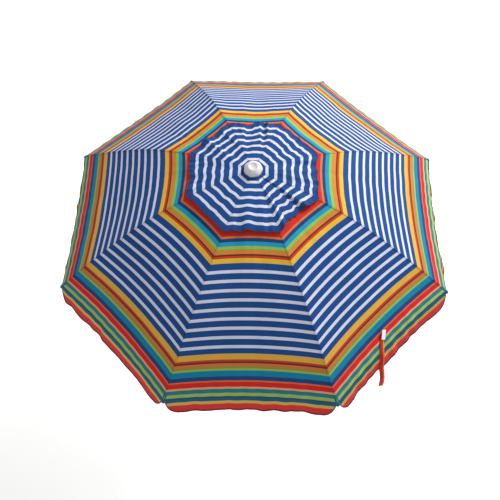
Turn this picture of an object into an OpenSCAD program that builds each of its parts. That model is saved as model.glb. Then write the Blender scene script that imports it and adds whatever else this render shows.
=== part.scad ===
// Vented tilting beach umbrella, open, standing upright.
// Frame: +Z runs up the pole, the origin is on the pole's axis where the spike meets the lower tube.
// The rib count is fixed at eight, with the first rib half a panel round from +X.

/* [Canopy] */
// Radius from the pole's axis to a rib's tip
tip_r = 930; // [880:5:980]
// Radius at which a rib turns from its tight inner arc to its flatter outer arc
knee_r = 577; // [540:1:620]
// Slope of a rib where it leaves the top notch, degrees below level
slope_hub = 0.5; // [0:0.5:3]
// Slope of a rib at the knee
slope_knee = 31; // [28:0.5:33]
// Slope of a rib at its tip
slope_tip = 37.5; // [35:0.5:41]
// Radius of the vent hole, measured along a rib
vent_r = 215; // [190:5:240]
// Radius of the vent cap, measured along a rib
cap_r = 293; // [275:1:300]
// Height of the valance that hangs from the canopy's edge
valance_h = 80; // [60:1:100]

/* [Frame] */
// Radius of the ring that the ribs hinge on
hinge_r = 22; // [21:0.5:24]
// Radius of a rib's rod
rib_rod_r = 2.4; // [2:0.1:2.5]
// Radius of a stretcher's rod
stretcher_rod_r = 2; // [1.6:0.1:2.1]
// Distance from the hinge ring to a stretcher's joint, measured level
clip_reach = 396; // [380:1:420]
// Drop of a stretcher's pivot below its rib
clip_drop = 10; // [9:0.5:12]

/* [Pole] */
// Outer radius of the lower tube
lower_r = 16; // [15.8:0.1:17]
// Outer radius of the upper tube and of the head tube
upper_r = 12.5; // [12:0.1:12.6]
// Wall of each tube
tube_wall = 1.2; // [1:0.1:1.4]
// Height of the lower tube
lower_h = 890; // [850:5:900]
// Height of the tilt pivot
tilt_z = 1180; // [1170:5:1220]
// Distance from the tilt pivot up to the ribs' hinge ring
head_h = 1050; // [1040:5:1100]
// Length of the spike below the lower tube
spike_h = 110; // [80:5:140]

/* [Hidden] */
$fn = 48;
rib_count = 8;
half_panel = 180 / rib_count;
fit = 0.3;                       // clearance between pieces that move past each other
joined = 0.05;                   // clearance between pieces that are fixed together
hinge_z = tilt_z + head_h;

// Rib profile: two arcs that meet at the knee with one slope.
inner_arc = (knee_r - hinge_r) / (sin(slope_knee) - sin(slope_hub));
outer_arc = (tip_r - knee_r) / (sin(slope_tip) - sin(slope_knee));
inner_c = [hinge_r - inner_arc * sin(slope_hub), hinge_z - inner_arc * cos(slope_hub)];
knee_z = inner_c[1] + inner_arc * cos(slope_knee);
outer_c = [knee_r - outer_arc * sin(slope_knee), knee_z - outer_arc * cos(slope_knee)];
tip_z = outer_c[1] + outer_arc * cos(slope_tip);

// Point of a rib's centre line where its slope is a, pushed outwards by up.
function on_rib(a, up = 0) = a <= slope_knee
    ? inner_c + (inner_arc + up) * [sin(a), cos(a)]
    : outer_c + (outer_arc + up) * [sin(a), cos(a)];
// Slope of a rib at radius r.
function slope_at(r) = r <= knee_r
    ? asin((r - inner_c[0]) / inner_arc)
    : asin((r - outer_c[0]) / outer_arc);

// Stretcher geometry: the two arms from the hinge ring and from the runner are equally long.
clip_slope = slope_at(hinge_r + clip_reach);
clip_p = on_rib(clip_slope);
pivot_p = on_rib(clip_slope, -clip_drop);
runner_z = 2 * pivot_p[1] - hinge_z;
arm = norm(pivot_p - [hinge_r, hinge_z]);
arm_slope = atan2(pivot_p[1] - runner_z, pivot_p[0] - hinge_r);

// Fabric, as a solid of this thickness held clear of the ribs.
cloth = 1;
cloth_up = 5;
cloth_gap = 0.15;                // half of the gap between neighbouring gores
valance_slope = 65;
steps = 22;

// Runner and top notch.
eye_r = 4.5;
eye_w = 2 * rib_rod_r + 0.6;    // wider than the rod, so that its flats are clear of it
wire_r = 1;
slot_in = hinge_r - eye_r - 0.7;
notch_r = 32;
notch_low = 12;
notch_high = 10;
tab_r = 4;
tab_w = 3.4;
finial_r = 40;
runner_r = 30;
runner_hub_h = 16;
sleeve_r = 16;
sleeve_h = 70;
button_z = runner_z - 40;

ferrule_l = 16;                  // sleeve that joins a rib's two rods at the knee

// Clip that carries a stretcher on a rib.
clip_l = 14;
clip_w = 8;
rivet_r = 1.5;

// Tilt joint and height clamp.
cheek_in = 9;
cheek_out = 17;
knuckle_r = 15;
socket_h = 22;
collar_low = 856;
collar_high = 930;
clamp_z = 910;
swage_r = lower_r - 0.5;

// ---- helpers ----

// Turns a piece made in the XZ plane round to rib number n.
module at_rib(n) rotate([0, 0, half_panel + 2 * half_panel * (n - 1)]) children();

// A cylinder along X from x0 to x1 at height z.
module bar_x(r, x0, x1, z, y = 0)
    translate([x0, y, z]) rotate([0, 90, 0]) cylinder(r = r, h = x1 - x0);

// A cylinder along Y, centred on the XZ plane at point p.
module disc_y(r, w, p)
    translate([p[0], w / 2, p[1]]) rotate([90, 0, 0]) cylinder(r = r, h = w);

// A tube along Z.
module tube(r, wall, z0, z1)
    translate([0, 0, z0]) difference() {
        cylinder(r = r, h = z1 - z0, $fn = 72);
        translate([0, 0, -1]) cylinder(r = r - wall, h = z1 - z0 + 2, $fn = 72);
    }

// A round rod bent to an arc about centre c in the XZ plane, between two slopes.
module arc_rod(c, arc_r, a0, a1, r)
    translate([c[0], 0, c[1]]) rotate([90, 0, 0]) rotate([0, 0, 90 - a1])
        rotate_extrude(angle = a1 - a0, $fn = 96) translate([arc_r, 0]) circle(r = r, $fn = 24);

// Closed thin shell: rows of points on the outer side, the same rows on the inner side.
module shell(outer, inner, closed = false) {
    rows = len(outer);
    cols = len(outer[0]);
    last = closed ? cols - 1 : cols - 2;
    n = rows * cols;
    points = concat([for (row = outer) each row], [for (row = inner) each row]);
    skins = [for (i = [0 : rows - 2]) for (j = [0 : last])
        let (a = i * cols + j, b = i * cols + (j + 1) % cols) each [
            [a, a + cols, b + cols, b],
            [n + a, n + b, n + b + cols, n + a + cols]]];
    ends = [for (j = [0 : last])
        let (a = j, b = (j + 1) % cols, c = (rows - 1) * cols) each [
            [a, b, n + b, n + a],
            [c + b, c + a, n + c + a, n + c + b]]];
    sides = closed ? [] : [for (i = [0 : rows - 2])
        let (a = i * cols, b = i * cols + cols - 1) each [
            [a, n + a, n + a + cols, a + cols],
            [b, b + cols, n + b + cols, n + b]]];
    polyhedron(points, concat(skins, ends, sides), convexity = 6);
}

// ---- pole ----

module lower_pole() color("white") {
    tube(lower_r, tube_wall, 0, collar_low - 1);
    tube(swage_r, tube_wall, collar_low - 1, lower_h);
}

module sand_spike() color("white") {
    plug_r = lower_r - tube_wall - joined;
    fin_r = lower_r - 0.3;
    fin_h = spike_h * 0.8 - 2;
    translate([0, 0, -6]) cylinder(r = lower_r - 0.1, h = 6 - joined);
    translate([0, 0, -joined - 1]) cylinder(r = plug_r, h = 41);
    translate([0, 0, -spike_h]) cylinder(r1 = 2, r2 = lower_r - 0.1, h = spike_h - 6);
    for (k = [0 : 3]) rotate([0, 0, 90 * k])
        translate([0, 0, -spike_h * 0.8]) rotate([90, 0, 0])
            translate([0, 0, -1]) linear_extrude(2)
                polygon([[0, 0], [5.5, 8], [fin_r, fin_h - 8], [fin_r, fin_h], [0, fin_h]]);
}

module clamp_collar() color("white") difference() {
    union() {
        rotate_extrude($fn = 72) polygon([
            [swage_r + joined, collar_low], [22.5, collar_low], [22.5, collar_low + 8],
            [21, collar_low + 10], [21, collar_high - 10], [22.5, collar_high - 8],
            [22.5, collar_high - 2], [20.5, collar_high], [upper_r + fit, collar_high],
            [upper_r + fit, lower_h + joined], [swage_r + joined, lower_h + joined]]);
        bar_x(9, 17, 36, clamp_z);
    }
    bar_x(4 + joined, 10, 40, clamp_z);
}

module clamp_screw() color("silver")
    bar_x(4, upper_r + 1, 44, clamp_z);

module clamp_knob() color("white") difference() {
    union() {
        bar_x(9, 36.6, 42, clamp_z);
        bar_x(14, 41, 53, clamp_z);
        for (k = [0 : 5]) translate([41, 14 * cos(60 * k), clamp_z + 14 * sin(60 * k)])
            rotate([0, 90, 0]) cylinder(r = 4.2, h = 12);
    }
    bar_x(4 + joined, 30, 44 + joined, clamp_z);
}

module upper_pole() color("white")
    tube(upper_r, tube_wall, lower_h - 200, tilt_z - 28);

module tilt_fork() color("white") difference() {
    union() {
        translate([0, 0, tilt_z - 44]) cylinder(r = 16.5, h = 25);
        for (s = [-1, 1]) translate([s > 0 ? cheek_in : -cheek_out, 0, 0]) {
            bar_x(knuckle_r, 0, cheek_out - cheek_in, tilt_z);
            translate([0, -knuckle_r, tilt_z - 22])
                cube([cheek_out - cheek_in, 2 * knuckle_r, 22]);
        }
    }
    translate([0, 0, tilt_z - 45]) cylinder(r = upper_r + joined, h = 17.1);
    bar_x(3 + joined, -20, 20, tilt_z);
    bar_x(6.4, 12.3, 20, tilt_z);
}

module tilt_pin() color("silver") {
    bar_x(3, -cheek_out, 11.8, tilt_z);
    bar_x(5.5, -cheek_out - 2.4, -cheek_out - joined, tilt_z);
    bar_x(3, -cheek_out - 1, -cheek_out + 1, tilt_z);
}

module tilt_button() color("red") {
    bar_x(6, 15.5, 20, tilt_z);
    bar_x(5.2, 19, 21, tilt_z);
}

module tilt_tongue() color("white") difference() {
    union() {
        bar_x(knuckle_r, -cheek_in + fit, cheek_in - fit, tilt_z);
        translate([-cheek_in + fit, -knuckle_r, tilt_z])
            cube([2 * (cheek_in - fit), 2 * knuckle_r, 24]);
        translate([0, 0, tilt_z + 22]) cylinder(r = 16.5, h = socket_h + 4);
    }
    translate([0, 0, tilt_z + 26]) cylinder(r = upper_r + joined, h = 40);
    bar_x(3 + 0.1, -20, 20, tilt_z);
}

module top_pole() color("white")
    tube(upper_r, tube_wall, tilt_z + 26 + joined, hinge_z + 3);

// ---- hub at the top ----

module top_notch() color("white") difference() {
    union() {
        translate([0, 0, hinge_z - notch_low])
            cylinder(r = notch_r, h = notch_low + notch_high, $fn = 72);
        translate([0, 0, hinge_z - 40]) cylinder(r = 15.6, h = 40);
        translate([0, 0, hinge_z]) cylinder(r = 5, h = 34);
    }
    wire_ring(wire_r + joined);
    translate([0, 0, hinge_z - 41]) cylinder(r = upper_r + joined, h = 44.1);
    for (n = [1 : rib_count]) at_rib(n)
        translate([slot_in, -eye_w / 2 - fit, hinge_z - 20])
            cube([notch_r, eye_w + 2 * fit, 20 + eye_r + 1.5]);
}

// Ring of straight wire lengths, one through each rib's eye.
module wire_ring(r)
    for (n = [1 : rib_count]) at_rib(n)
        disc_y(r, 2 * hinge_r * tan(half_panel) + 0.4, [hinge_r, hinge_z]);

module notch_wire() color("silver") wire_ring(wire_r);

module cap_washer() color("silver")
    translate([0, 0, hinge_z + notch_high + 3.2]) difference() {
        cylinder(r = 24, h = 1.6);
        translate([0, 0, -1]) cylinder(r = 5 + joined, h = 4);
    }

module finial() color("white") {
    base = hinge_z + notch_high + 5;
    lobes = 8;
    lobe_r = 9;
    ring_r = finial_r - lobe_r;
    difference() {
        union() {
            for (k = [0 : lobes - 1]) rotate([0, 0, 360 * k / lobes])
                translate([ring_r, 0, base]) cylinder(r = lobe_r, h = 9);
            translate([0, 0, base]) cylinder(r = finial_r - 6, h = 12);
            translate([0, 0, base + 9]) cylinder(r1 = finial_r - 1, r2 = 26, h = 12);
            translate([0, 0, base + 21]) cylinder(r1 = 26, r2 = 20, h = 7);
        }
        translate([0, 0, base - 1]) cylinder(r = 5 + joined, h = 21);
    }
}

// ---- runner ----

module runner() color("white") difference() {
    union() {
        translate([0, 0, runner_z - runner_hub_h / 2]) cylinder(r = runner_r, h = runner_hub_h, $fn = 72);
        translate([0, 0, runner_z - sleeve_h]) cylinder(r = sleeve_r, h = sleeve_h + 12);
    }
    translate([0, 0, runner_z - sleeve_h - 1]) cylinder(r = upper_r + fit, h = sleeve_h + 20);
    for (n = [1 : rib_count]) at_rib(n)
        translate([hinge_r - tab_r - 0.8, -tab_w / 2 - fit, runner_z - 20])
            cube([runner_r, tab_w + 2 * fit, 40]);
    bar_x(4.8, 5, 20, button_z);
}

module runner_button() color("red") {
    bar_x(4.5, 15.6, 19, button_z);
    bar_x(3.8, 18, 20, button_z);
}

// ---- ribs and stretchers ----

module rib() color("white") difference() {
    union() {
        arc_rod(inner_c, inner_arc, slope_hub, slope_knee - 0.2, rib_rod_r);
        arc_rod(outer_c, outer_arc, slope_knee + 0.1, slope_tip - 0.08, rib_rod_r);
        translate([knee_r, 0, knee_z]) rotate([0, slope_knee, 0])
            bar_x(rib_rod_r + 0.7, -ferrule_l / 2, ferrule_l / 2, 0);
        disc_y(eye_r, eye_w, [hinge_r, hinge_z]);
    }
    disc_y(wire_r + 0.2, 20, [hinge_r, hinge_z]);
}

module rib_clip() color("silver") {
    translate([clip_p[0], 0, clip_p[1]]) rotate([0, clip_slope, 0]) difference() {
        union() {
            translate([-clip_l / 2, -clip_w / 2, -4.4]) cube([clip_l, clip_w, 8.2]);
            for (s = [-1, 1]) translate([0, s * (clip_w / 2 - 0.75), 0]) {
                disc_y(4.4, 1.5, [0, -clip_drop]);
                translate([-4.4, -0.75, -clip_drop]) cube([8.8, 1.5, clip_drop]);
            }
        }
        bar_x(rib_rod_r + 0.35, -20, 20, 0);
        disc_y(rivet_r + joined, 20, [0, -clip_drop]);
    }
    disc_y(rivet_r, clip_w + 0.6, pivot_p);
    for (s = [-1, 1]) translate([0, s * (clip_w / 2 + 0.3), 0]) disc_y(2.6, 1, pivot_p);
}

module rib_tip() color("white") {
    tip = on_rib(slope_tip);
    cap_l = 18;
    translate([tip[0], 0, tip[1]]) rotate([0, 90 + slope_tip, 0]) difference() {
        union() {
            translate([0, 0, -2 - cap_l]) cylinder(r = 4.2, h = cap_l);
            translate([0, 0, -2]) sphere(r = 4.2);
        }
        translate([0, 0, -3 - cap_l]) cylinder(r = rib_rod_r + 0.3, h = cap_l - 2);
    }
}

module stretcher() color("silver")
    translate([hinge_r, 0, runner_z]) rotate([0, -arm_slope, 0]) difference() {
        union() {
            bar_x(stretcher_rod_r, 3, arm - 3, 0);
            disc_y(tab_r, tab_w, [0, 0]);
            translate([0, -tab_w / 2, -2.4]) cube([12, tab_w, 4.8]);
            disc_y(tab_r, tab_w, [arm, 0]);
            translate([arm - 12, -tab_w / 2, -2.4]) cube([12, tab_w, 4.8]);
        }
        disc_y(rivet_r + 0.1, 20, [arm, 0]);
    }

// ---- fabric ----

// Profile of the canopy along a rib, with the valance's lower edge last.
function canopy_row(k, up) = let (
        a0 = slope_at(vent_r),
        a = a0 + (slope_tip - a0) * k / steps)
    on_rib(a, cloth_up + up);
hem = on_rib(slope_tip, cloth_up);
drop = valance_h * [cos(valance_slope), -sin(valance_slope)];
out = cloth * [sin(valance_slope), cos(valance_slope)];

// One row across a gore at profile point p: mid-panel, rib, mid-panel.
function across(p) = let (
        c = cos(half_panel), s = sin(half_panel),
        x = p[0] * c * c + cloth_gap * s,
        y = p[0] * c * s - cloth_gap * c)
    [[x, -y, p[1]], [p[0], 0, p[1]], [x, y, p[1]]];

module canopy_gore() color("royalblue") {
    outer = [for (k = [0 : steps]) across(canopy_row(k, cloth)), across(hem + drop + out)];
    inner = [for (k = [0 : steps]) across(canopy_row(k, 0)), across(hem + drop)];
    shell(outer, inner);
}

// Profile of the vent cap: flat under the finial, then a fall that steepens to its edge.
cap_fall = 34;
function cap_point(r, up) = [r, hinge_z + notch_high + 1 + up
    - cap_fall * pow(max(0, r - 30) / (cap_r - 30), 1.75)];
cap_rows = [7, 30, 60, 100, 140, 180, 220, 260, cap_r];

function cap_ring(r, up) = [for (n = [1 : rib_count])
    let (a = 360 * n / rib_count - half_panel, p = cap_point(r, up))
    [p[0] * cos(a), p[0] * sin(a), p[1]]];
module vent_cap() color("royalblue")
    shell([for (r = cap_rows) cap_ring(r, cloth)], [for (r = cap_rows) cap_ring(r, 0)], closed = true);

// Strap sewn near the middle of one panel: it lies on the fabric, crosses the hem and hangs.
strap_w = 22;
strap_t = 1.2;
strap_clear = 0.8;               // gap between the strap and the fabric
strap_aside = 55;                // distance from the panel's middle line
strap_up = 60;
strap_over = 66;
strap_hang = 100;
function flat_row(p) = [p[0] * cos(half_panel), p[1]];
module tie_strap() color("orangered") {
    hem_p = flat_row(canopy_row(steps, cloth + strap_clear));
    row_p = flat_row(canopy_row(steps - 1, cloth + strap_clear));
    top_p = hem_p + strap_up * (row_p - hem_p) / norm(row_p - hem_p);
    over_p = hem_p + strap_over * [cos(60), -sin(60)];
    path = [top_p, hem_p, over_p, over_p + strap_hang * [cos(82), -sin(82)]];
    back = [for (p = path) p + strap_t * [0.7, 0.7]];
    rotate([0, 0, -2 * half_panel]) translate([0, -strap_aside, 0]) rotate([90, 0, 0])
        translate([0, 0, -strap_w / 2]) linear_extrude(strap_w)
            polygon(concat(path, [for (i = [len(back) - 1 : -1 : 0]) back[i]]));
}

lower_pole();
sand_spike();
clamp_collar();
clamp_knob();
clamp_screw();
upper_pole();
tilt_fork();
tilt_pin();
tilt_button();
tilt_tongue();
top_pole();
top_notch();
notch_wire();
cap_washer();
finial();
runner();
runner_button();
vent_cap();
tie_strap();
for (n = [1 : rib_count]) {
    at_rib(n) rib();
    at_rib(n) rib_clip();
    at_rib(n) rib_tip();
    at_rib(n) stretcher();
    at_rib(n) canopy_gore();
}
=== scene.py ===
import math
import bpy
import bmesh
import numpy as np
from mathutils import Matrix, Vector, noise


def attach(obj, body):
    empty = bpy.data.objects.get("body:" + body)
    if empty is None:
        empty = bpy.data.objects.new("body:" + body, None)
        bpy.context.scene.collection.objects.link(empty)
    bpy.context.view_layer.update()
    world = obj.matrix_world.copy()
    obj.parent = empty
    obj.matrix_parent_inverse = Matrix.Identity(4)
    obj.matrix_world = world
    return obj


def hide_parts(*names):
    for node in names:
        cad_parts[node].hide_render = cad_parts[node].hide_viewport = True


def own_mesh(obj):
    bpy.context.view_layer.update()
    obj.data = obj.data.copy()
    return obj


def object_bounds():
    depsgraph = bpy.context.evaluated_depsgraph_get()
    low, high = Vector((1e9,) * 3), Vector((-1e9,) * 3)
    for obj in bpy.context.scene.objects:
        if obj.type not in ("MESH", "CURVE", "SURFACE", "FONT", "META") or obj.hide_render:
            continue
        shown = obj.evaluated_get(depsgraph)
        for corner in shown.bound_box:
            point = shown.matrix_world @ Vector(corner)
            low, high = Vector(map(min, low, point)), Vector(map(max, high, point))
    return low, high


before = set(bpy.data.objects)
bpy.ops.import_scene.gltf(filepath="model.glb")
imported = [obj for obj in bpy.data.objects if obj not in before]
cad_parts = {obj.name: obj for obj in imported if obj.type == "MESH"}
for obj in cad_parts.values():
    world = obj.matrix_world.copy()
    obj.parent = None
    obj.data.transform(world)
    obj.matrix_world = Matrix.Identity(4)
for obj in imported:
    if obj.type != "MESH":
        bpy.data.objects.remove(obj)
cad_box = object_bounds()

# ---------------------------------------------------------------------------
# The studio: a pale floor that the spike's point touches, a white room, one
# large soft lamp at the back on the right and a weak one in front on the left.
# ---------------------------------------------------------------------------
RIM_R = 0.930                    # the ribs' tips, from the pole's axis
RIM_Z = 1.833                    # and their height
FLOOR_Z = cad_box[0][2]

scene = bpy.context.scene
scene.view_settings.view_transform = "Standard"


def linear(hex_colour, alpha=1.0):
    """An sRGB hex colour as the linear values that a shader takes."""
    parts = [int(hex_colour[i:i + 2], 16) / 255 for i in (1, 3, 5)]
    return [c / 12.92 if c <= 0.04045 else ((c + 0.055) / 1.055) ** 2.4 for c in parts] + [alpha]


def place_camera(rise_deg, turn_deg, roll_deg, distance, right_by, up_by, lens):
    """Looks down on the canopy from the front; distances are in units of the rim's radius."""
    rise, turn, roll = (math.radians(a) for a in (rise_deg, turn_deg, roll_deg))
    back = Vector((math.sin(turn) * math.cos(rise), -math.cos(turn) * math.cos(rise), math.sin(rise)))
    level = Vector((math.cos(turn), math.sin(turn), 0))
    upward = back.cross(level)
    right = math.cos(roll) * level + math.sin(roll) * upward
    up = math.cos(roll) * upward - math.sin(roll) * level
    data = bpy.data.cameras.new("camera")
    data.lens = lens
    data.sensor_width = 36
    data.clip_end = 60
    camera = bpy.data.objects.new("camera", data)
    eye = Vector((0, 0, RIM_Z)) + RIM_R * (distance * back + right_by * right + up_by * up)
    camera.matrix_world = Matrix.Translation(eye) @ Matrix((right, up, back)).transposed().to_4x4()
    scene.collection.objects.link(camera)
    scene.camera = camera


place_camera(63.04, 3.06, -2.03, 3.007, -0.0213, -0.155, lens=42.3)


def lamp(name, place, aim, size, watts):
    data = bpy.data.lights.new(name, "AREA")
    data.shape = "DISK"
    data.size = size
    data.energy = watts
    lamp_object = bpy.data.objects.new(name, data)
    lamp_object.location = place
    lamp_object.rotation_euler = (Vector(aim) - Vector(place)).to_track_quat("-Z", "Y").to_euler()
    scene.collection.objects.link(lamp_object)


lamp("key_lamp", (3.5, 3.4, 5.5), (0, 0, 1.9), size=2.2, watts=400)
lamp("fill_lamp", (-3.6, -3.4, 4.4), (0, 0, 1.8), size=3.4, watts=12)

room = bpy.data.worlds.new("room")
room.use_nodes = True
room.node_tree.nodes["Background"].inputs["Color"].default_value = (1, 1, 1, 1)
room.node_tree.nodes["Background"].inputs["Strength"].default_value = 0.5
scene.world = room


def new_mesh(name, points, faces, material_list=(), smooth=True):
    """A mesh object with its place in its mesh."""
    data = bpy.data.meshes.new(name)
    data.from_pydata([tuple(p) for p in points], [], [tuple(f) for f in faces])
    data.update()
    for m in material_list:
        data.materials.append(m)
    if smooth:
        data.shade_smooth()
    piece = bpy.data.objects.new(name, data)
    scene.collection.objects.link(piece)
    return piece


def finish_of(name):
    """A new material with its node tree, its Principled shader and a hook that adds nodes."""
    made = bpy.data.materials.new(name)
    made.use_nodes = True
    tree = made.node_tree

    def add(kind, links=None, **settings):
        """Adds a node, sets its properties or socket values, and links what feeds it."""
        node = tree.nodes.new(kind)
        for key, value in settings.items():
            if hasattr(node, key):
                setattr(node, key, value)
            else:
                node.inputs[key.replace("_", " ")].default_value = value
        for socket, source in (links or {}).items():
            tree.links.new(source, node.inputs[socket])
        return node

    shader = tree.nodes["Principled BSDF"]
    return made, add, shader, tree.links.new


floor_paint, add, shader, link = finish_of("matt studio paint")
shader.inputs["Base Color"].default_value = linear("#F6F6F4")
shader.inputs["Roughness"].default_value = 0.9
shader.inputs["Emission Color"].default_value = linear("#FFFFFF")
shader.inputs["Emission Strength"].default_value = 0.42
floor = new_mesh("floor", [(x, y, FLOOR_Z) for x, y in ((-30, -30), (30, -30), (30, 30), (-30, 30))],
                 [(0, 1, 2, 3)], [floor_paint], smooth=False)

# ---------------------------------------------------------------------------
# The pole: a 32 mm and a 25 mm steel tube, dipped in pale gloss enamel. The
# enamel levels out, with a faint orange peel and a few rubbed, dustier bands.
# ---------------------------------------------------------------------------
MM = 0.001


def per_mm(size):
    """The Scale of a noise or Voronoi texture whose features are this many millimetres across."""
    return 1 / (size * MM)


def moulded(name, colour, worn, grain_mm, rough, bump_mm, worn_share=0.55, metal=0.0, coat=0.0):
    """Enamel, moulded plastic or plated steel: two close colours, a fine grain and uneven gloss."""
    made, add, shader, link = finish_of(name)
    here = add("ShaderNodeTexCoord").outputs["Object"]
    patches = add("ShaderNodeTexNoise", {"Vector": here}, Scale=per_mm(60), Detail=4.0, Roughness=0.6)
    grain = add("ShaderNodeTexNoise", {"Vector": here}, Scale=per_mm(grain_mm), Detail=3.0)
    share = add("ShaderNodeMapRange", {"Value": patches.outputs["Fac"]})
    share.inputs["From Min"].default_value = worn_share
    share.inputs["From Max"].default_value = worn_share + 0.22
    tint = add("ShaderNodeMix", {"Factor": share.outputs["Result"]}, data_type="RGBA")
    tint.inputs["A"].default_value = linear(colour)
    tint.inputs["B"].default_value = linear(worn)
    link(tint.outputs["Result"], shader.inputs["Base Color"])
    gloss = add("ShaderNodeMapRange", {"Value": patches.outputs["Fac"]})
    gloss.inputs["To Min"].default_value = rough * 0.8
    gloss.inputs["To Max"].default_value = min(1, rough * 1.35)
    link(gloss.outputs["Result"], shader.inputs["Roughness"])
    bump = add("ShaderNodeBump", {"Height": grain.outputs["Fac"]}, Strength=0.6, Distance=bump_mm * MM)
    link(bump.outputs["Normal"], shader.inputs["Normal"])
    shader.inputs["Metallic"].default_value = metal
    shader.inputs["Coat Weight"].default_value = coat
    shader.inputs["Coat Roughness"].default_value = 0.12
    return made


def finish_nodes(made, *names):
    """Gives the frame's own parts a finish."""
    for name in names:
        for material_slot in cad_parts[name].material_slots:
            material_slot.material = made


enamel = moulded("pale grey gloss enamel on steel tube", "#C2C5C8", "#AEB0B1", grain_mm=2.4,
                 rough=0.26, bump_mm=0.03, coat=0.35)
finish_nodes(enamel, "lower_pole", "upper_pole", "top_pole")

# ---------------------------------------------------------------------------
# Spike, height clamp, tilt knuckle and their knobs: white polypropylene,
# injection moulded with a fine spark-eroded grain that dulls the shine.
# ---------------------------------------------------------------------------
polypropylene = moulded("moulded white polypropylene", "#D2D2CF", "#BFBEBA", grain_mm=0.9,
                        rough=0.46, bump_mm=0.05)
finish_nodes(polypropylene, "sand_spike", "clamp_collar", "clamp_knob", "tilt_fork", "tilt_tongue",
             "tilt_button", "top_notch", "runner", "runner_button")

# ---------------------------------------------------------------------------
# Screw, tilt pin, hub wire, washer and rib clips: mild steel, zinc plated and
# passivated, so it is a pale grey metal with a soft, slightly mottled shine.
# ---------------------------------------------------------------------------
zinc = moulded("zinc plated steel", "#B9BBBD", "#A3A5A8", grain_mm=1.6, rough=0.34, bump_mm=0.02, metal=1.0)
finish_nodes(zinc, "clamp_screw", "tilt_pin", "notch_wire", "cap_washer",
             *(f"rib_clip_{n}" for n in range(1, 9)))

# ---------------------------------------------------------------------------
# Eight ribs and eight stretchers: spring steel rods with the pole's enamel.
# Each rib ends in a moulded bead that sits in a small pocket of the cloth.
# ---------------------------------------------------------------------------
RIBS = range(1, 9)
finish_nodes(enamel, *(f"rib_{n}" for n in RIBS), *(f"stretcher_{n}" for n in RIBS))
finish_nodes(polypropylene, *(f"rib_tip_{n}" for n in RIBS))

# ---------------------------------------------------------------------------
# The printed cloth: polyester in plain weave, cut into eight panels whose
# stripes run across, so each stripe is a ring of eight straight lengths.
# ---------------------------------------------------------------------------
BLUE = "#1B4A8C"
WHITE = "#D8DAEA"
WHITE_FIRST = 448.5              # middle of the first white stripe, in mm down the rib
WHITE_PITCH = 41.24
WHITE_W = 14.0
RIM_S = 1010.8                   # the rim, in mm of cloth from the hub
# Each coloured stripe is its colour and where it starts, in mm of cloth from the hub.
INNER_BANDS = [("#D4301F", 0), ("#DD7440", 292), ("#1C4374", 301), ("#1C97BC", 318), ("#93BD4E", 337),
               ("#A0983A", 350), ("#D88436", 355), ("#702C34", 372), ("#CC4020", 380),
               ("#E6B83C", 389), (BLUE, 412)]
OUTER_BANDS = [(BLUE, 700), ("#E0AE42", 808), ("#C8402A", 835), ("#702C3C", 844), ("#D0783A", 853),
               ("#A08E3A", 867), ("#96BA55", 876), ("#0C83A8", 885), ("#26437C", 912), ("#E0683C", 930),
               ("#DA2822", 939), ("#E0A880", 960), ("#2A7F84", 969), ("#A0BC62", 988), ("#1E5B78", 1004),
               ("#BEB85E", 1030), ("#E3A44A", 1038), ("#D83430", 1049), ("#5A2248", 1086)]


def woven(name, printed, inside_share=0.0):
    """Plain weave polyester: a print, two crossed sets of threads, sheen and slight fading.
    printed is one hex colour, or printed(add, v, link) gives the colour v metres down the cloth."""
    made, add, shader, link = finish_of(name)
    cloth = add("ShaderNodeUVMap", uv_map="cloth").outputs["UV"]
    # Faint unevenness of dye and fading, and painted shade: a slightly darker dot between threads.
    fade = add("ShaderNodeTexNoise", {"Vector": add("ShaderNodeTexCoord").outputs["Object"]},
               Scale=per_mm(180), Detail=5.0, Roughness=0.65)
    fade_to = add("ShaderNodeMapRange", {"Value": fade.outputs["Fac"]})
    fade_to.inputs["To Min"].default_value = 0.9
    fade_to.inputs["To Max"].default_value = 1.08
    # The real threads are 0.3 mm apart; they are drawn 2 mm apart, so that the weave shows.
    warp = add("ShaderNodeTexWave", {"Vector": cloth}, wave_type="BANDS", bands_direction="X",
               Scale=per_mm(2.0) / 20 * math.pi, Distortion=0.6)
    weft = add("ShaderNodeTexWave", {"Vector": cloth}, wave_type="BANDS", bands_direction="Y",
               Scale=per_mm(2.0) / 20 * math.pi, Distortion=0.6)
    weave = add("ShaderNodeMath", {0: warp.outputs["Fac"], 1: weft.outputs["Fac"]}, operation="MULTIPLY")
    # Painted shade: the weave pattern darkens the hollows between threads by a few per cent.
    thread = add("ShaderNodeMapRange", {"Value": weave.outputs["Value"]})
    thread.inputs["To Min"].default_value = 0.95
    thread.inputs["To Max"].default_value = 1.04
    bright = add("ShaderNodeMath", {0: fade_to.outputs["Result"], 1: thread.outputs["Result"]},
                 operation="MULTIPLY")
    dyed = add("ShaderNodeHueSaturation", {"Value": bright.outputs["Value"]})
    if isinstance(printed, str):
        dyed.inputs["Color"].default_value = linear(printed)
    else:
        u_v = add("ShaderNodeSeparateXYZ", {"Vector": cloth})
        link(printed(add, u_v.outputs["Y"], link), dyed.inputs["Color"])
    final = dyed.outputs["Color"]
    if inside_share:
        # The print shows through to the inside, paler and greyer.
        pale = add("ShaderNodeMix", {"A": final}, data_type="RGBA")
        pale.inputs["B"].default_value = linear("#C9CBD4")
        pale.inputs["Factor"].default_value = inside_share
        final = pale.outputs["Result"]
    link(final, shader.inputs["Base Color"])
    bump = add("ShaderNodeBump", {"Height": weave.outputs["Value"]}, Strength=0.35, Distance=0.15 * MM)
    link(bump.outputs["Normal"], shader.inputs["Normal"])
    shader.inputs["Roughness"].default_value = 0.78
    shader.inputs["Specular IOR Level"].default_value = 0.16
    shader.inputs["Sheen Weight"].default_value = 0.03
    shader.inputs["Sheen Roughness"].default_value = 0.4
    return made


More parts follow.
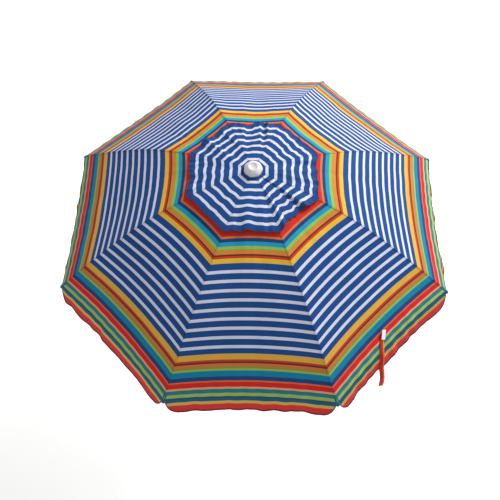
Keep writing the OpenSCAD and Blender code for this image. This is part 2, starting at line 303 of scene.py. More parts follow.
def band_ramp(add, v, bands, first, last):
    """A colour ramp with hard edges whose stripes start where bands says, in mm."""
    place = add("ShaderNodeMapRange", {"Value": v})
    place.inputs["From Min"].default_value = first * MM
    place.inputs["From Max"].default_value = last * MM
    ramp = add("ShaderNodeValToRGB", {"Fac": place.outputs["Result"]})
    ramp.color_ramp.interpolation = "CONSTANT"
    stops = ramp.color_ramp.elements
    for n, (colour, start) in enumerate(bands):
        at = min(1, max(0, (start - first) / (last - first)))
        stop = stops[n] if n < 2 else stops.new(at)
        stop.position = at
        stop.color = linear(colour)
    return ramp.outputs["Color"]


def white_on_blue(add, v, link, first, pitch, width):
    """White stripes on blue, with their middles at first, first + pitch and so on, in mm."""
    share = width / pitch
    turns = add("ShaderNodeMath", {0: v}, operation="MULTIPLY_ADD")
    turns.inputs[1].default_value = 1 / (pitch * MM)
    turns.inputs[2].default_value = share / 2 - first / pitch + 50
    part = add("ShaderNodeMath", {0: turns.outputs["Value"]}, operation="FRACT")
    white = add("ShaderNodeMath", {0: part.outputs["Value"]}, operation="LESS_THAN")
    white.inputs[1].default_value = share
    mix = add("ShaderNodeMix", {"Factor": white.outputs["Value"]}, data_type="RGBA")
    mix.inputs["A"].default_value = linear(BLUE)
    mix.inputs["B"].default_value = linear(WHITE)
    return mix.outputs["Result"]


def panel_print(add, v, link):
    """Coloured bands, nine white stripes on blue, then coloured bands down to the valance."""
    def beyond(limit):
        test = add("ShaderNodeMath", {0: v}, operation="GREATER_THAN")
        test.inputs[1].default_value = limit * MM
        return test.outputs["Value"]

    def choose(factor, a, b):
        return add("ShaderNodeMix", {"Factor": factor, "A": a, "B": b}, data_type="RGBA").outputs["Result"]

    inner = band_ramp(add, v, INNER_BANDS, 0, 500)
    outer = band_ramp(add, v, OUTER_BANDS, 700, 1100)
    middle = white_on_blue(add, v, link, WHITE_FIRST, WHITE_PITCH, WHITE_W)
    first = choose(beyond(WHITE_FIRST - WHITE_PITCH / 2), inner, middle)
    return choose(beyond(WHITE_FIRST + 8.5 * WHITE_PITCH), first, outer)


panel_cloth = woven("printed polyester, plain weave", panel_print)
panel_inside = woven("printed polyester, inner face", panel_print, inside_share=0.34)

# ---------------------------------------------------------------------------
# The canopy: eight panels stretched over the ribs. The cloth is held at the
# ribs and pulls in between them, so every stripe and the rim curve inwards.
# One gore is the cloth that one rib carries, from mid-panel to mid-panel.
# ---------------------------------------------------------------------------
HUB_R, HUB_Z = 0.022, 2.230      # the ring that the ribs hinge on
KNEE_R = 0.577                   # where a rib's inner arc meets its flatter outer arc
HUB_SLOPE, KNEE_SLOPE, TIP_SLOPE = (math.radians(a) for a in (0.5, 31.0, 37.5))
INNER_ARC = (KNEE_R - HUB_R) / (math.sin(KNEE_SLOPE) - math.sin(HUB_SLOPE))
OUTER_ARC = (RIM_R - KNEE_R) / (math.sin(TIP_SLOPE) - math.sin(KNEE_SLOPE))
INNER_C = (HUB_R - INNER_ARC * math.sin(HUB_SLOPE), HUB_Z - INNER_ARC * math.cos(HUB_SLOPE))
KNEE_Z = INNER_C[1] + INNER_ARC * math.cos(KNEE_SLOPE)
OUTER_C = (KNEE_R - OUTER_ARC * math.sin(KNEE_SLOPE), KNEE_Z - OUTER_ARC * math.cos(KNEE_SLOPE))
KNEE_S = INNER_ARC * (KNEE_SLOPE - HUB_SLOPE)
CLOTH_UP = 0.0058                # the cloth's outer face, above a rib's middle
CLOTH_T = 0.0005
PANEL = math.radians(45)
BOW = 0.024                      # how far mid-panel is drawn in, as a share of the radius


def slope_at(s):
    """Slope of a rib, s metres of rod from the hub."""
    return np.where(s < KNEE_S, HUB_SLOPE + s / INNER_ARC, KNEE_SLOPE + (s - KNEE_S) / OUTER_ARC)


def rib_point(s, up=0.0):
    """Radius and height of a rib's middle, s metres from the hub, raised by up at right angles."""
    a = slope_at(s)
    inner = s < KNEE_S
    r = np.where(inner, INNER_C[0] + (INNER_ARC + up) * np.sin(a), OUTER_C[0] + (OUTER_ARC + up) * np.sin(a))
    z = np.where(inner, INNER_C[1] + (INNER_ARC + up) * np.cos(a), OUTER_C[1] + (OUTER_ARC + up) * np.cos(a))
    return r, z


def rib_turn(n):
    return PANEL * (n - 0.5)


def panels_of(n):
    """The panels on either side of rib n: panel p runs from rib p to the next one."""
    return (n - 2) % 8 + 1, n


def waves(panel, u, v, size, seed):
    """Smooth noise from -1 to 1 over one panel, the same on both of the gores that share it."""
    flat = np.broadcast_arrays(u, v)
    out = [noise.noise(Vector((a / size[0], b / size[1], panel * 7.3 + seed))) for a, b in
           zip(flat[0].ravel(), flat[1].ravel())]
    return np.array(out).reshape(flat[0].shape)


def panel_surface(panel, x_share, v):
    """Points of the cloth between rib panel and the next one. x_share runs from 0 at the first rib
    to 1 at the next, v is the distance down the cloth; both are arrays of one shape."""
    r_here, _ = rib_point(v)
    bow = 1 - np.abs(2 * x_share - 1) ** 2.1
    s = v - BOW * r_here * bow
    # Metres to the nearer rib.
    from_rib = (1 - np.abs(2 * x_share - 1)) * r_here * math.sin(PANEL / 2)
    # Tension folds: long shallow waves that die out at the ribs, and short pulls above the rim.
    free = 1 - np.exp(-(from_rib / 0.06) ** 2)
    along = x_share * 2 * RIM_R * math.sin(PANEL / 2)
    long_folds = 0.0032 * waves(panel, along, v, (0.16, 0.55), 1.7)
    rise = long_folds + 0.0012 * waves(panel, along, v, (0.05, 0.16), 4.1)
    near_rim = np.exp(-((RIM_S * MM - v) / 0.09) ** 2)
    rise = rise * free + 0.0016 * np.sin(along * 92 + panel) * near_rim * free
    sag = -0.006 * bow * np.sin(np.clip((v - 0.2) / 0.81, 0, 1) * math.pi)
    seam = 0.0008 * np.clip((0.0052 - from_rib) / 0.0012, 0, 1)
    r, z = rib_point(s, CLOTH_UP + rise + sag + seam)
    a, b = rib_turn(panel), rib_turn(panel + 1)
    return np.stack([r * ((1 - x_share) * math.cos(a) + x_share * math.cos(b)),
                     r * ((1 - x_share) * math.sin(a) + x_share * math.sin(b)), z], -1)


VALANCE = 0.080                  # depth of the flap that hangs from the rim
VALANCE_SLOPE = {panel: math.radians(65 if panel in (5, 6, 7) else 71 if panel in (4, 8) else 76)
                 for panel in range(1, 9)}
CORNER = 0.046                   # its rounded corners
NOTCH = 0.006                    # the bare rim at each rib


def valance_depth(x):
    """Depth of the flap, x metres along the rim from the nearer rib."""
    t = np.clip((x - NOTCH) / CORNER, 0, 1)
    return VALANCE * np.sqrt(np.clip(1 - (1 - t) ** 2, 0, 1))


def valance_point(panel, x_share, share):
    """Points of the flap: share is 0 at the rim and 1 at the flap's edge."""
    rim = panel_surface(panel, x_share, np.full_like(x_share, RIM_S * MM))
    chord = 2 * RIM_R * math.sin(PANEL / 2)
    near = (1 - np.abs(2 * x_share - 1)) / 2 * chord
    along = x_share * chord
    depth = valance_depth(near) * share
    middle = rib_turn(panel) + PANEL / 2
    broad = 0.010 * waves(panel, along, depth, (0.075, 0.4), 9.2)
    swing = broad + 0.004 * waves(panel, along, depth, (0.03, 0.3), 2.2)
    swing = swing * (depth / VALANCE) ** 0.8
    steep = VALANCE_SLOPE[panel]
    out = depth * math.cos(steep) + swing * math.sin(steep)
    drop = depth * math.sin(steep) - swing * math.cos(steep)
    rim[..., 0] += out * math.cos(middle)
    rim[..., 1] += out * math.sin(middle)
    rim[..., 2] -= drop
    return rim, depth


def half_columns():
    """Shares of a half panel from its rib to its middle: close together at the seam and the corners."""
    chord = 2 * RIM_R * math.sin(PANEL / 2)
    near = [0, 1.5, 3.9, 4.3, 5.3, 6.5, 9, 12, 16, 21, 27, 34, 42, 52, 64]
    far = [64 + (chord / 2 / MM - 64) * k / 24 for k in range(1, 25)]
    return np.array([x * MM / chord for x in near + far])


COLUMNS = half_columns()
VENT_S = 0.206                   # the vent's edge, down the rib
GORE_W = 0.712                   # width of the cut cloth at the rim
BODY_ROWS = np.linspace(VENT_S, RIM_S * MM, 112)
FLAP_ROWS = np.linspace(0, 1, 12)[1:]


def gore_grid(n):
    """Rows of points, and of (across, down) cloth coordinates, from mid-panel over rib n to mid-panel."""
    halves = []
    before, after = panels_of(n)
    for panel, shares in ((before, 1 - COLUMNS[::-1]), (after, COLUMNS)):
        x, v = np.meshgrid(shares, BODY_ROWS)
        body = panel_surface(panel, x, v)
        fx, share = np.meshgrid(shares, FLAP_ROWS)
        flap, depth = valance_point(panel, fx, share)
        points = np.concatenate([body, flap])
        down = np.concatenate([v, RIM_S * MM + depth])
        across = np.concatenate([x, fx]) * GORE_W + panel * GORE_W
        halves.append((points, np.stack([across, down], -1)))
    (left, left_uv), (right, right_uv) = halves
    return np.concatenate([left, right[:, 1:]], 1), np.concatenate([left_uv, right_uv[:, 1:]], 1)


def cloth_from_grid(name, points, cloth, outside, inside, thickness=CLOTH_T):
    """A closed sheet from rows of points. Its inner face is thickness below and has its own material."""
    rows, columns = points.shape[:2]
    index = np.arange(rows * columns).reshape(rows, columns)
    quads = [(index[i, j], index[i + 1, j], index[i + 1, j + 1], index[i, j + 1])
             for i in range(rows - 1) for j in range(columns - 1)]
    piece = new_mesh(name, points.reshape(-1, 3), quads, [outside, inside])
    layer = piece.data.uv_layers.new(name="cloth")
    flat = cloth.reshape(-1, 2)
    layer.data.foreach_set("uv", np.array([flat[loop.vertex_index] for loop in piece.data.loops]).ravel())
    merge = bmesh.new()
    merge.from_mesh(piece.data)
    bmesh.ops.remove_doubles(merge, verts=merge.verts, dist=1e-6)
    bmesh.ops.dissolve_degenerate(merge, dist=1e-6, edges=merge.edges)
    merge.to_mesh(piece.data)
    merge.free()
    solid = piece.modifiers.new("cloth", "SOLIDIFY")
    solid.thickness = thickness
    solid.offset = -1
    solid.material_offset = 1
    solid.material_offset_rim = 0
    return crisp_edges(plain(piece))


def crisp_edges(piece):
    """Keeps the smooth shading of a sheet's faces from rounding over its cut edges."""
    shape = bmesh.new()
    shape.from_mesh(piece.data)
    for edge in shape.edges:
        edge.smooth = not edge.is_manifold or edge.calc_face_angle() < math.radians(58)
    shape.to_mesh(piece.data)
    shape.free()
    return piece


def plain(piece):
    """Turns a piece with modifiers into a plain mesh."""
    bpy.context.view_layer.update()
    seen = piece.evaluated_get(bpy.context.evaluated_depsgraph_get())
    made = bpy.data.meshes.new_from_object(seen)
    piece.modifiers.clear()
    piece.data = made
    return piece


def fold_with_rib(piece, n):
    """Rides on rib n."""
    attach(piece, f"rib_arm_{n}")
    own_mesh(piece)


for n in RIBS:
    grid, cloth = gore_grid(n)
    gore = cloth_from_grid(f"cloth_gore_{n}", grid, cloth, panel_cloth, panel_inside)
    fold_with_rib(gore, n)
    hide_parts(f"canopy_gore_{n}")

# ---------------------------------------------------------------------------
# Valance binding: the flap's edge is turned up and overlocked in purple yarn,
# which makes a soft, slightly uneven cord along the edge of each half panel.
# ---------------------------------------------------------------------------
def yarn(name, colour, gap_shade, pitch_mm):
    """Spun yarn: wound strands in the yarn's own colour, with painted shade darkening the gaps between them.
    """
    made, add, shader, link = finish_of(name)
    cloth = add("ShaderNodeUVMap", uv_map="cloth").outputs["UV"]
    strands = add("ShaderNodeTexWave", {"Vector": cloth}, wave_type="BANDS", bands_direction="DIAGONAL",
                  Scale=per_mm(pitch_mm) / 20 * math.pi, Distortion=1.5)
    # The darker colour is painted shade between the strands, a shaded copy of the yarn's own colour.
    mix = add("ShaderNodeMix", {"Factor": strands.outputs["Fac"]}, data_type="RGBA")
    mix.inputs["A"].default_value = linear(gap_shade)
    mix.inputs["B"].default_value = linear(colour)
    link(mix.outputs["Result"], shader.inputs["Base Color"])
    bump = add("ShaderNodeBump", {"Height": strands.outputs["Fac"]}, Strength=0.5, Distance=0.3 * MM)
    link(bump.outputs["Normal"], shader.inputs["Normal"])
    shader.inputs["Roughness"].default_value = 0.8
    shader.inputs["Sheen Weight"].default_value = 0.15
    return made


def cord_along(name, path, radius, finish, sides=8, squeeze=1.0):
    """A closed round cord along a row of points."""
    path = np.asarray(path)
    tangent = np.gradient(path, axis=0)
    tangent /= np.linalg.norm(tangent, axis=1, keepdims=True) + 1e-12
    side = np.cross(tangent, (0, 0, 1.0))
    side /= np.linalg.norm(side, axis=1, keepdims=True) + 1e-12
    top = np.cross(side, tangent)
    turns = [2 * math.pi * k / sides for k in range(sides)]
    points = np.concatenate([[p + radius * (math.cos(a) * s * squeeze + math.sin(a) * t) for a in turns]
                             for p, s, t in zip(path, side, top)])
    count = len(path)
    faces = [(i * sides + k, i * sides + (k + 1) % sides,
              (i + 1) * sides + (k + 1) % sides, (i + 1) * sides + k)
             for i in range(count - 1) for k in range(sides)]
    faces.append(tuple(range(sides)))
    faces.append(tuple((count - 1) * sides + k for k in reversed(range(sides))))
    piece = new_mesh(name, points, faces, [finish])
    steps = np.concatenate([[0], np.cumsum(np.linalg.norm(np.diff(path, axis=0), axis=1))])
    layer = piece.data.uv_layers.new(name="cloth")
    layer.data.foreach_set("uv", np.array([(steps[loop.vertex_index // sides],
                                            loop.vertex_index % sides * radius * 0.8)
                                           for loop in piece.data.loops]).ravel())
    tidy = bmesh.new()
    tidy.from_mesh(piece.data)
    bmesh.ops.recalc_face_normals(tidy, faces=tidy.faces)
    tidy.to_mesh(piece.data)
    tidy.free()
    return piece


# 2C1230 is painted shade in the gaps between the strands; #5C2250 is the yarn's purple.
purple_yarn = yarn("overlocked polyester yarn", "#5C2250", "#2C1230", pitch_mm=1.6)
EDGE_COLUMNS = np.concatenate([[NOTCH * 0.2 / GORE_W], COLUMNS[COLUMNS > NOTCH / GORE_W]])
for n in RIBS:
    before, after = panels_of(n)
    for hand, panel, shares in (("left", before, 1 - EDGE_COLUMNS[::-1]), ("right", after, EDGE_COLUMNS)):
        edge, _ = valance_point(panel, shares, np.ones_like(shares))
        binding = cord_along(f"valance_binding_{n}_{hand}", edge, 0.0024, purple_yarn)
        fold_with_rib(binding, n)

# ---------------------------------------------------------------------------
# Lockstitching: navy polyester thread in two rows down every seam, one row
# round the rim where the flap is joined on, and one along the flap's turn-up.
# ---------------------------------------------------------------------------
STITCH_PITCH = 4.5 * MM
STITCH_L = 3.2 * MM
THREAD_R = 0.55 * MM             # thicker than real thread, so that the rows show
SEAM_ROW = 3.4 * MM              # a row's distance from the rib's middle


def stitch_tree():
    """Places one small lens of thread at every pitch along the edges of a mesh."""
    tree = bpy.data.node_groups.new("rows of stitches", "GeometryNodeTree")
    tree.is_modifier = True
    sockets = {}
    for name, kind in (("Rows", "NodeSocketGeometry"), ("Pitch", "NodeSocketFloat"),
                       ("Stitch length", "NodeSocketFloat"), ("Thread radius", "NodeSocketFloat"),
                       ("Thread", "NodeSocketMaterial")):
        sockets[name] = tree.interface.new_socket(name, in_out="INPUT", socket_type=kind).identifier
    tree.interface.new_socket("Stitches", in_out="OUTPUT", socket_type="NodeSocketGeometry")

    def add(kind, links=None, **settings):
        node = tree.nodes.new(kind)
        for key, value in settings.items():
            if hasattr(node, key):
                setattr(node, key, value)
            else:
                node.inputs[key].default_value = value
        for socket, source in (links or {}).items():
            tree.links.new(source, node.inputs[socket])
        return node

    given = add("NodeGroupInput").outputs
    curve = add("GeometryNodeMeshToCurve", {"Mesh": given["Rows"]})
    places = add("GeometryNodeCurveToPoints", {"Curve": curve.outputs["Curve"], "Length": given["Pitch"]},
                 mode="LENGTH")
    half = add("ShaderNodeMath", {0: given["Stitch length"]}, operation="MULTIPLY")
    half.inputs[1].default_value = 0.5
    size = add("ShaderNodeCombineXYZ", {"X": given["Thread radius"], "Y": given["Thread radius"],
                                        "Z": half.outputs["Value"]})
    aim = add("FunctionNodeAlignRotationToVector", {"Vector": places.outputs["Tangent"]}, axis="Z")
    lens = add("GeometryNodeMeshUVSphere", Segments=6, Rings=4, Radius=1.0)
    sewn = add("GeometryNodeInstanceOnPoints",
               {"Points": places.outputs["Points"], "Instance": lens.outputs["Mesh"],
                "Rotation": aim.outputs["Rotation"], "Scale": size.outputs["Vector"]})
    real = add("GeometryNodeRealizeInstances", {"Geometry": sewn.outputs["Instances"]})
    smooth = add("GeometryNodeSetShadeSmooth", {"Geometry": real.outputs["Geometry"]})
    dyed = add("GeometryNodeSetMaterial",
               {"Geometry": smooth.outputs["Geometry"], "Material": given["Thread"]})
    add("NodeGroupOutput", {"Stitches": dyed.outputs["Geometry"]})
    return tree, sockets


stitches, stitch_sockets = stitch_tree()
# The navy is partly the thread's own colour and partly painted shade: the dark, thick rows also stand in for
# the thin shadow line along each seam.
thread = moulded("navy polyester sewing thread", "#1B2B5C", "#2A4078", grain_mm=0.5, rough=0.62, bump_mm=0.05)


def sew(name, rows):
    """One piece with every stitch along some rows of points."""
    points = np.concatenate(rows)
    data = bpy.data.meshes.new(name)
    edges, start = [], 0
    for row in rows:
        edges += [(start + k, start + k + 1) for k in range(len(row) - 1)]
        start += len(row)
    data.from_pydata([tuple(p) for p in points], edges, [])
    piece = bpy.data.objects.new(name, data)
    scene.collection.objects.link(piece)
    sewing = piece.modifiers.new("stitches", "NODES")
    sewing.node_group = stitches
    for socket, value in (("Pitch", STITCH_PITCH), ("Stitch length", STITCH_L), ("Thread radius", THREAD_R),
                          ("Thread", thread)):
        sewing[stitch_sockets[socket]] = value
    return plain(piece)


def raised(points, panel, slope, by=0.0004):
    """Moves points of a panel off its outer face."""
    middle = rib_turn(panel) + PANEL / 2
    return points + by * np.array([math.cos(middle) * math.sin(slope), math.sin(middle) * math.sin(slope),
                                   math.cos(slope)])


SEWN_ROWS = np.linspace(VENT_S + 0.004, RIM_S * MM - 0.003, 90)
SEWN_SHARES = np.linspace(0.012, 0.4985, 60)
for n in RIBS:
    before, after = panels_of(n)
    rows = []
    for panel, mirrored in ((before, True), (after, False)):
        def share(x):
            return 1 - x if mirrored else x
        seam_x = SEAM_ROW / (2 * rib_point(SEWN_ROWS)[0] * math.sin(PANEL / 2))
        rows.append(raised(panel_surface(panel, share(seam_x), SEWN_ROWS), panel, math.radians(25)))
        rim_v = np.full_like(SEWN_SHARES, RIM_S * MM - 0.004)
        rows.append(raised(panel_surface(panel, share(SEWN_SHARES), rim_v), panel, TIP_SLOPE))
        flap_x = SEWN_SHARES[SEWN_SHARES * GORE_W > NOTCH + 0.010]
        near_edge = 1 - 0.006 / valance_depth(flap_x * GORE_W)
        rows.append(raised(valance_point(panel, share(flap_x), near_edge)[0], panel, VALANCE_SLOPE[panel]))
    sewing = sew(f"seam_stitches_{n}", rows)
    fold_with_rib(sewing, n)

# ---------------------------------------------------------------------------
# Vent cap: a small octagon of the same cloth over the vent hole, clamped
# under the finial and tacked to the ribs, so between them it puckers freely.
# ---------------------------------------------------------------------------
CAP_R = 0.293                    # its corners, along the ribs
CAP_START = 0.036
CAP_FALL = 0.034
CAP_UP = 0.012                   # its middle, above the hub ring
CAP_GORE_W = 0.224               # width of one cut panel at the cap's edge
CLAMPED_R = 0.0385               # the part of it that the washer holds
TUCKED_PANEL = 7


def cap_print(add, v, link):
    return white_on_blue(add, v, link, first=62, pitch=39.4, width=13.2)


cap_cloth = woven("printed polyester, vent cap", cap_print)
cap_inside = woven("printed polyester, vent cap inside", cap_print, inside_share=0.34)


# How loosely each panel of the cap is tacked down.
CAP_SLACK = {1: 1.25, 2: 1.45, 3: 1.3, 4: 0.95, 5: 0.55, 6: 0.7, 7: 0.95, 8: 1.15}
UNDER_S = np.linspace(0.02, 0.40, 60)
UNDER_R, UNDER_Z = rib_point(UNDER_S, CLOTH_UP)


def smooth_step(x, low, high):
    t = np.clip((x - low) / (high - low), 0, 1)
    return t * t * (3 - 2 * t)


def cap_surface(panel, x_share, r):
    """Points of the vent cap between rib panel and the next one, r metres out along the ribs."""
    bow = 1 - np.abs(2 * x_share - 1) ** 2
    loose = np.clip((r - 0.045) / (CAP_R - 0.045), 0, 1)
    along = (x_share - 0.5) * r
    near = (1 - np.abs(2 * x_share - 1)) * r * math.sin(PANEL / 2)
    free = 1 - np.exp(-(near / 0.022) ** 2)
    slack = CAP_SLACK[panel] * free * loose ** 0.5
    pucker = 0.0130 * waves(panel, along, r, (0.058, 0.26), 3.3) - 0.0130 * (
        np.abs(waves(panel, along, r, (0.050, 0.30), 5.9)) - 0.25)
    shift = 0.0120 * waves(panel, along, r, (0.060, 0.16), 6.1) + 0.0100 * (
        np.abs(waves(panel, along, r, (0.046, 0.22), 2.6)) - 0.25)
    reach = r * (1 - 0.006 * bow) + shift * slack
    z = HUB_Z + CAP_UP - CAP_FALL * (np.clip(reach - 0.03, 0, 1) / (CAP_R - 0.03)) ** 1.75
    z = z + pucker * slack + 0.003 * bow * loose
    if panel == TUCKED_PANEL:
        # One panel is tucked: a valley that fans out from the finial between two creases.
        tuck = loose ** 0.6 * smooth_step(x_share, 0.16, 0.26) * (1 - smooth_step(x_share, 0.56, 0.66))
        lips = loose * (np.exp(-((x_share - 0.13) / 0.06) ** 2) + np.exp(-((x_share - 0.70) / 0.06) ** 2))
        z = z - 0.016 * tuck + 0.008 * lips
        reach = reach - 0.013 * tuck
    # Outside the vent hole the cap can sink no lower than the canopy under it.
    z = np.maximum(z, np.interp(reach, UNDER_R, UNDER_Z) + 0.0025)
    a, b = rib_turn(panel), rib_turn(panel + 1)
    return np.stack([reach * ((1 - x_share) * math.cos(a) + x_share * math.cos(b)),
                     reach * ((1 - x_share) * math.sin(a) + x_share * math.sin(b)), z], -1)


CAP_ROWS = np.linspace(CAP_START, CAP_R, 60)
CAP_COLUMNS = np.array([0, 0.01, 0.022, 0.036, 0.052, 0.07] + [0.07 + 0.43 * k / 24 for k in range(1, 25)])
for n in RIBS:
    halves, marks = [], []
    before, after = panels_of(n)
    for panel, shares in ((before, 1 - CAP_COLUMNS[::-1]), (after, CAP_COLUMNS)):
        x, r = np.meshgrid(shares, CAP_ROWS)
        halves.append(cap_surface(panel, x, r))
        marks.append(np.stack([(x - 0.5) * CAP_GORE_W + panel * CAP_GORE_W, r], -1))
    grid = np.concatenate([halves[0], halves[1][:, 1:]], 1)
    cloth = np.concatenate([marks[0], marks[1][:, 1:]], 1)
    gore = cloth_from_grid(f"vent_gore_{n}", grid, cloth, cap_cloth, cap_inside)
    fold_with_rib(gore, n)
    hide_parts("vent_cap")
    edge = cord_along(f"vent_binding_{n}", grid[-1], 0.0014, purple_yarn)
    fold_with_rib(edge, n)

for n in RIBS:
    before, after = panels_of(n)
    down = np.linspace(CAP_START + 0.012, CAP_R - 0.002, 50)
    rows = []
    for panel, mirrored in ((before, True), (after, False)):
        seam_x = np.minimum(0.3, 0.0028 / (2 * down * math.sin(PANEL / 2)))
        hem_x = np.linspace(0.012, 0.4985, 40)
        for x, r in ((seam_x, down), (hem_x, np.full_like(hem_x, CAP_R - 0.007))):
            rows.append(raised(cap_surface(panel, 1 - x if mirrored else x, r), panel, math.radians(8)))
    sewing = sew(f"cap_stitches_{n}", rows)
    fold_with_rib(sewing, n)

# ---------------------------------------------------------------------------
# Clamped middle of the vent cap: a round of doubled cloth between the hub and
# the washer, which stays with the pole when the ribs fold.
# ---------------------------------------------------------------------------
TURNS = np.linspace(0, 2 * math.pi, 49)
rings = np.array([0.0056, 0.012, 0.020, 0.028, 0.034, CLAMPED_R])
ring_r, ring_a = np.meshgrid(rings, TURNS, indexing="ij")
ripple = 0.0006 * np.sin(ring_a * 8) * (ring_r / CLAMPED_R)
round_grid = np.stack([ring_r * np.cos(ring_a), ring_r * np.sin(ring_a),
                       HUB_Z + CAP_UP + 0.0006 + ripple - 0.0004 * (ring_r / CLAMPED_R) ** 3], -1)
cap_round = cloth_from_grid("cap_round", round_grid[:, ::-1], np.stack([ring_a * 0.02, ring_r], -1)[:, ::-1],
                            cap_cloth, cap_inside, thickness=0.0008)
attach(cap_round, "head")
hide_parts("vent_cap")

# ---------------------------------------------------------------------------
# Finial: a white polypropylene knob screwed down on the cap. It has a softly
# lobed skirt for the fingers and a shallow dish in the top where it was gated.
# ---------------------------------------------------------------------------
FINIAL_BASE = HUB_Z + 0.0150
finial_profile = [(0.0060, 0.0004), (0.030, 0.0002), (0.0360, 0.0006), (0.0388, 0.0030), (0.0396, 0.0075),
                  (0.0388, 0.0120), (0.0355, 0.0165), (0.0310, 0.0200), (0.0262, 0.0232), (0.0222, 0.0258),
                  (0.0196, 0.0272), (0.0174, 0.0272), (0.0158, 0.0258), (0.0120, 0.0236), (0.0060, 0.0226),
                  (0.0, 0.0224)]
lobes = 7
around = 112
points, faces = [], []
for ring, (r, z) in enumerate(finial_profile[:-1]):
    depth = 0.055 * math.exp(-((z - 0.009) / 0.011) ** 2) if r > 0.012 else 0
    for k in range(around):
        a = 2 * math.pi * k / around
        lobe = 1 - depth * (0.5 - 0.5 * math.cos(lobes * a)) ** 1.5
        points.append((r * lobe * math.cos(a), r * lobe * math.sin(a), FINIAL_BASE + z))
        if ring:
            here, below, step = ring * around + k, (ring - 1) * around + k, (k + 1) % around - k
            faces.append((below, below + step, here + step, here))
points.append((0, 0, FINIAL_BASE + finial_profile[-1][1]))
top_ring = (len(finial_profile) - 2) * around
faces += [(top_ring + k, top_ring + (k + 1) % around, len(points) - 1) for k in range(around)]
faces.append(tuple(reversed(range(around))))
finial = new_mesh("finial_knob", points, faces, [
    moulded("moulded white polypropylene, finial", "#DBD9DA", "#C6C3C6", grain_mm=1.1,
            rough=0.42, bump_mm=0.06)])
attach(finial, "head")
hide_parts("finial")

# ---------------------------------------------------------------------------
# Tip pockets: at the end of each seam a pouch of doubled teal cloth, which the
# rib's bead pushes into; it keeps the rim stretched and sticks out as a nib.
# ---------------------------------------------------------------------------
pocket_cloth = woven("teal polyester, plain weave", "#1A7480")
for n in RIBS:
    turn = rib_turn(n)
    run = Vector((math.cos(turn) * math.cos(TIP_SLOPE), math.sin(turn) * math.cos(TIP_SLOPE),
                  -math.sin(TIP_SLOPE)))
    side = Vector((-math.sin(turn), math.cos(turn), 0))
    lift = side.cross(run) * -1
    tip_r, tip_z = (float(c) for c in rib_point(np.array(RIM_S * MM)))
    tip = Vector((tip_r * math.cos(turn), tip_r * math.sin(turn), tip_z))
    points, faces, marks = [], [], []
    stations = [-30, -28, -22, -12, -2, 6, 11, 14, 15.5]
    for i, along in enumerate(stations):
        t = max(0.0, (along - 4) / 11.6)
        full = math.sqrt(max(0.02, 1 - t ** 2.2)) * (1 if along > -29 else 0.9)
        for k in range(20):
            a = 2 * math.pi * k / 20
            w = 0.0092 * full * math.copysign(abs(math.cos(a)) ** 0.8, math.cos(a))
            h = 0.0062 * full * math.sin(a)
            points.append(tip + run * along * MM + side * w + lift * (h + 0.0002))
            marks.append((w, along * MM))
            if i:
                here, below, step = i * 20 + k, (i - 1) * 20 + k, (k + 1) % 20 - k
                faces.append((here, here + step, below + step, below))
    faces.append(tuple(range(20)))
    faces.append(tuple((len(stations) - 1) * 20 + k for k in reversed(range(20))))
    pocket = new_mesh(f"tip_pocket_{n}", points, faces, [pocket_cloth])
    layer = pocket.data.uv_layers.new(name="cloth")
    layer.data.foreach_set("uv", np.array([marks[loop.vertex_index] for loop in pocket.data.loops]).ravel())
    tidy = bmesh.new()
    tidy.from_mesh(pocket.data)
    bmesh.ops.recalc_face_normals(tidy, faces=tidy.faces)
    tidy.to_mesh(pocket.data)
    tidy.free()
    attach(pocket, f"rib_arm_{n}")

# ---------------------------------------------------------------------------
# Tie strap: a folded length of the striped cloth, 22 mm wide, sewn to the rim
# of one panel. It crosses the valance and hangs free. A white hook-and-loop
# patch on its root closes it round the folded umbrella.
# ---------------------------------------------------------------------------
STRAP_PANEL = 7
STRAP_W = 0.022
STRAP_T = 0.0016                 # two layers of cloth
PATCH_W = 0.025
PATCH_T = 0.0034
HANG_STEP = 0.0195               # the free end, in eight lengths
strap_way = rib_turn(STRAP_PANEL) + PANEL / 2
outward = Vector((math.cos(strap_way), math.sin(strap_way), 0))


def on_panel(x_share, v):
    p = panel_surface(STRAP_PANEL, np.array([x_share]), np.array([v]))[0]
    return Vector(p) + (outward * math.sin(TIP_SLOPE) + Vector((0, 0, math.cos(TIP_SLOPE)))) * 0.0032


def on_valance(x_share, share):
    p, _ = valance_point(STRAP_PANEL, np.array([x_share]), np.array([share]))
    steep = VALANCE_SLOPE[STRAP_PANEL]
    return Vector(p[0]) + (outward * math.sin(steep) + Vector((0, 0, math.cos(steep)))) * 0.005


strap_path = [on_panel(0.45, 0.962), on_panel(0.43, 0.980), on_panel(0.41, 0.998), on_valance(0.392, 0.12),
              on_valance(0.382, 0.40), on_valance(0.370, 0.72), on_valance(0.360, 1.0)]
along_rim = Vector((-outward.y, outward.x, 0))
for k in range(1, 9):
    steep = math.radians(64 + 2.4 * k)
    hang = outward * math.cos(steep) - Vector((0, 0, 1)) * math.sin(steep) - along_rim * 0.07
    strap_path.append(strap_path[-1] + HANG_STEP * hang)


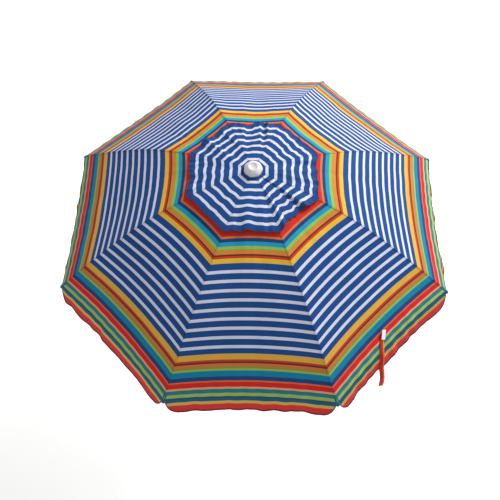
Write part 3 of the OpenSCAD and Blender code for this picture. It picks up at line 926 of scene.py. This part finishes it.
def ribbon(name, path, width, thickness, finish, rounds=4, faces_at_end=None):
    """A flat closed tape along a path. It faces outwards from the panel, and may turn to face
    another way by its end."""
    path = [Vector(p) for p in path]
    for _ in range(rounds):
        finer = []
        for a, b in zip(path, path[1:]):
            finer += [a, (a + b) / 2]
        path = finer + [path[-1]]
        inner = [(path[i - 1] + 2 * path[i] + path[i + 1]) / 4 for i in range(1, len(path) - 1)]
        path = [path[0]] + inner + [path[-1]]
    across = [-1, -0.94, -0.5, 0, 0.5, 0.94, 1]
    points, marks, faces = [], [], []
    gone = 0.0
    for i, p in enumerate(path):
        tangent = (path[min(i + 1, len(path) - 1)] - path[max(i - 1, 0)]).normalized()
        turned = min(1.0, 2.2 * i / len(path)) if faces_at_end else 0
        facing = outward.lerp(faces_at_end or outward, turned) + Vector((0, 0, 0.5))
        face_out = (facing - tangent * facing.dot(tangent)).normalized()
        wide = tangent.cross(face_out)
        gone += (p - path[i - 1]).length if i else 0
        for q in across:
            belly = thickness * (0.5 - 0.3 * abs(q) ** 6)
            points.append(p + wide * q * width / 2 + face_out * belly)
            marks.append((q * width / 2, gone))
        for q in reversed(across):
            belly = thickness * (0.5 - 0.3 * abs(q) ** 6)
            points.append(p + wide * q * width / 2 - face_out * belly)
            marks.append((q * width / 2, gone))
    ring = 2 * len(across)
    for i in range(len(path) - 1):
        for k in range(ring):
            step = (k + 1) % ring - k
            faces.append((i * ring + k, i * ring + k + step, (i + 1) * ring + k + step, (i + 1) * ring + k))
    faces.append(tuple(range(ring)))
    faces.append(tuple((len(path) - 1) * ring + k for k in reversed(range(ring))))
    piece = new_mesh(name, points, faces, [finish])
    layer = piece.data.uv_layers.new(name="cloth")
    layer.data.foreach_set("uv", np.array([marks[loop.vertex_index] for loop in piece.data.loops]).ravel())
    tidy = bmesh.new()
    tidy.from_mesh(piece.data)
    bmesh.ops.recalc_face_normals(tidy, faces=tidy.faces)
    tidy.to_mesh(piece.data)
    tidy.free()
    return piece, gone


def strap_print(add, v, link):
    """Red with one orange edge: the strap is cut along the stripes."""
    across = add("ShaderNodeSeparateXYZ", {"Vector": add("ShaderNodeUVMap", uv_map="cloth").outputs["UV"]})
    edge = add("ShaderNodeMath", {0: across.outputs["X"]}, operation="LESS_THAN")
    edge.inputs[1].default_value = -0.0045
    mix = add("ShaderNodeMix", {"Factor": edge.outputs["Value"]}, data_type="RGBA")
    mix.inputs["A"].default_value = linear("#C4271C")
    mix.inputs["B"].default_value = linear("#EE7A33")
    return mix.outputs["Result"]


strap_cloth = woven("folded printed polyester strap", strap_print)
strap, strap_length = ribbon("tie_strap_cloth", strap_path, STRAP_W, STRAP_T, strap_cloth,
                             faces_at_end=Vector((0.12, -1, 0)).normalized())
tab_path = [on_panel(0.492, 0.934), on_panel(0.480, 0.944), on_panel(0.466, 0.955), on_panel(0.452, 0.967)]
tab_path = [p + (outward * 0.6 + Vector((0, 0, 0.8))) * 0.0022 for p in tab_path]
nylon = moulded("white nylon hook-and-loop tape", "#EEEEF0", "#D9D9DE", grain_mm=1.3, rough=0.85, bump_mm=0.5)
tab, _ = ribbon("strap_patch", tab_path, PATCH_W, PATCH_T, nylon)
for piece in (strap, tab):
    fold_with_rib(piece, STRAP_PANEL)
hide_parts("tie_strap")

# ---------------------------------------------------------------------------
# The scene brought up to date once its looks are added; the model was measured before them.
# ---------------------------------------------------------------------------
bpy.context.view_layer.update()
